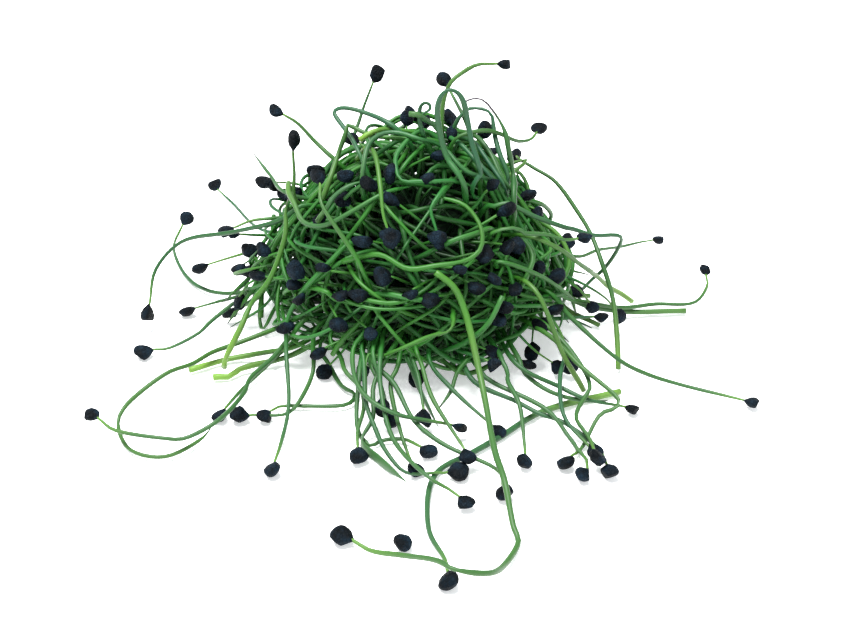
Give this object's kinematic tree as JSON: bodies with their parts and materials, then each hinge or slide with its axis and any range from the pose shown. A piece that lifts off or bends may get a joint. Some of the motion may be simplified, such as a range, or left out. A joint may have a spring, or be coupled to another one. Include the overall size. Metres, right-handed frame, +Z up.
{
  "type": "onion microgreens",
  "caption": "Loose heap of cut onion sprouts: thin round green stems tangled over one another, many tipped with a wrinkled black seed coat, with a flat foot to rest on.",
  "frame": {"origin": "on the floor under the heap, within the flat foot of the bunch", "axes": "+Z is up; -Y is the side that the picture shows; +X is to the right in the picture"},
  "size_m": [0.0986, 0.1146, 0.0441],
  "materials": {
    "stem": "satin",
    "seed_coat": "matte"
  },
  "bodies": {
    "root": {"bunch": "stem", "seed_back_curl": "seed_coat", "seed_big_seed": "seed_coat", "seed_brow": "seed_coat", "seed_cheek": "seed_coat", "seed_chin": "seed_coat", "seed_crinkled": "seed_coat", "seed_cross": "seed_coat", "seed_crown_back": "seed_coat", "seed_crown_left": "seed_coat", "seed_crown_mid": "seed_coat", "seed_crown_right": "seed_coat", "seed_drop": "seed_coat", "seed_face_left": "seed_coat", "seed_face_right": "seed_coat", "seed_fall": "seed_coat", "seed_far_back": "seed_coat", "seed_far_left": "seed_coat", "seed_far_right": "seed_coat", "seed_front_left": "seed_coat", "seed_high_right": "seed_coat", "seed_hip": "seed_coat", "seed_hook": "seed_coat", "seed_knee_left": "seed_coat", "seed_lean": "seed_coat", "seed_left_arch": "seed_coat", "seed_left_fall": "seed_coat", "seed_left_seed": "seed_coat", "seed_lone": "seed_coat", "seed_long_right": "seed_coat", "seed_low_left": "seed_coat", "seed_low_right": "seed_coat", "seed_peak": "seed_coat", "seed_rear_1": "seed_coat", "seed_rear_2": "seed_coat", "seed_rear_3": "seed_coat", "seed_rear_5": "seed_coat", "seed_rear_6": "seed_coat", "seed_rear_7": "seed_coat", "seed_rear_left": "seed_coat", "seed_rear_low": "seed_coat", "seed_rear_right": "seed_coat", "seed_right_top": "seed_coat", "seed_second": "seed_coat", "seed_shoulder": "seed_coat", "seed_side_left": "seed_coat", "seed_stand": "seed_coat", "seed_top_left": "seed_coat", "seed_twin": "seed_coat", "seed_up_back": "seed_coat", "seed_up_left": "seed_coat", "seed_up_seed": "seed_coat", "stem_cross": "stem", "stem_fall": "stem", "stem_lean": "stem", "stem_pale": "stem", "stem_twin": "stem"}
  },
  "joints": []
}
